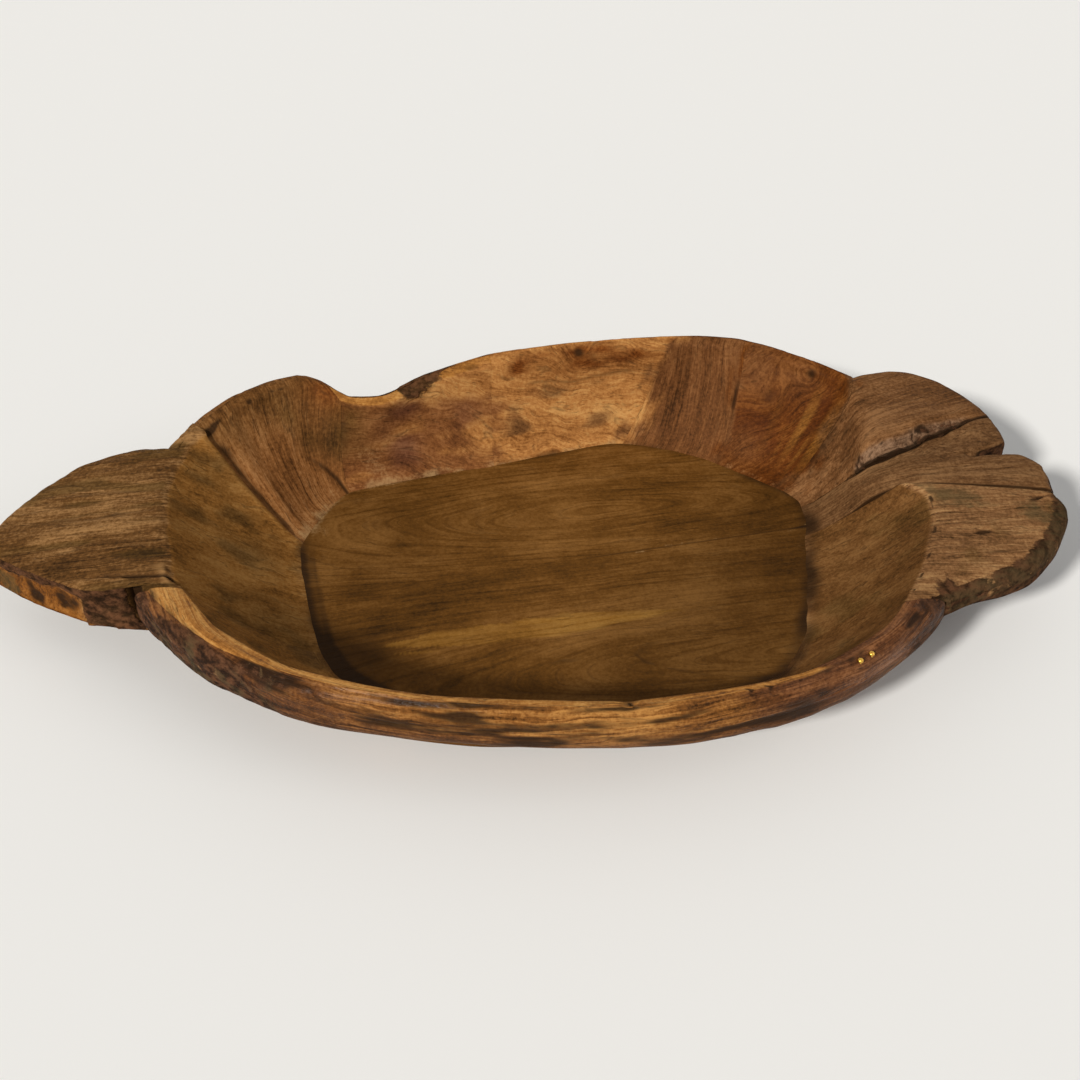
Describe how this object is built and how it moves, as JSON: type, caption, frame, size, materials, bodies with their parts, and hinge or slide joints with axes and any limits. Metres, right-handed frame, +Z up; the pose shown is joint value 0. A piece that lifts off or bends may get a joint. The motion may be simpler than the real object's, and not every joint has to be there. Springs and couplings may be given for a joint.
{
  "type": "wooden bowl",
  "caption": "Large shallow hand-carved wooden bowl with wing handles and a natural edge, jointed from carved blocks on a flat floor; holds fruit or bread.",
  "frame": {"origin": "middle of the flat underside, on the surface the bowl stands on", "axes": "+X along the bowl towards the split handle, +Y towards the high side of the rim, +Z up"},
  "size_m": [0.7499, 0.4037, 0.1036],
  "materials": {
    "floor_wood": "waxed satin",
    "handle_wood": "worn, dry",
    "red_wood": "waxed satin",
    "sap_wood": "waxed satin",
    "front_wood": "waxed, bark edge",
    "dowel_wood": "raw",
    "brass": "polished"
  },
  "bodies": {
    "root": {"right_handle_front_finger": "handle_wood", "right_handle_middle_finger": "handle_wood", "right_handle_back_finger": "handle_wood", "back_right_corner_block": "red_wood", "back_right_block": "red_wood", "back_centre_block": "sap_wood", "back_left_block": "red_wood", "back_left_corner_block": "red_wood", "left_handle_block": "handle_wood", "front_left_block": "front_wood", "front_right_block": "front_wood", "floor_board_front": "floor_wood", "floor_board_back": "floor_wood", "seam_dowel_right_front": "dowel_wood", "seam_dowel_lower_split": "dowel_wood", "seam_dowel_upper_split": "dowel_wood", "seam_dowel_right_back": "dowel_wood", "seam_dowel_back_right": "dowel_wood", "seam_dowel_back_middle_right": "dowel_wood", "seam_dowel_back_middle_left": "dowel_wood", "seam_dowel_back_left": "dowel_wood", "seam_dowel_left_back": "dowel_wood", "seam_dowel_left_front": "dowel_wood", "seam_dowel_front_middle": "dowel_wood", "floor_dowel_right_handle_front_finger": "dowel_wood", "floor_dowel_right_handle_middle_finger": "dowel_wood", "floor_dowel_right_handle_back_finger": "dowel_wood", "floor_dowel_back_right_corner_block": "dowel_wood", "floor_dowel_back_right_block": "dowel_wood", "floor_dowel_back_centre_block": "dowel_wood", "floor_dowel_back_left_block": "dowel_wood", "floor_dowel_back_left_corner_block": "dowel_wood", "floor_dowel_left_handle_block": "dowel_wood", "floor_dowel_front_left_block": "dowel_wood", "floor_dowel_front_right_block": "dowel_wood", "floor_joint_dowel_1": "dowel_wood", "floor_joint_dowel_2": "dowel_wood", "floor_joint_dowel_3": "dowel_wood", "brass_pin_1": "brass", "brass_pin_2": "brass"}
  },
  "joints": []
}
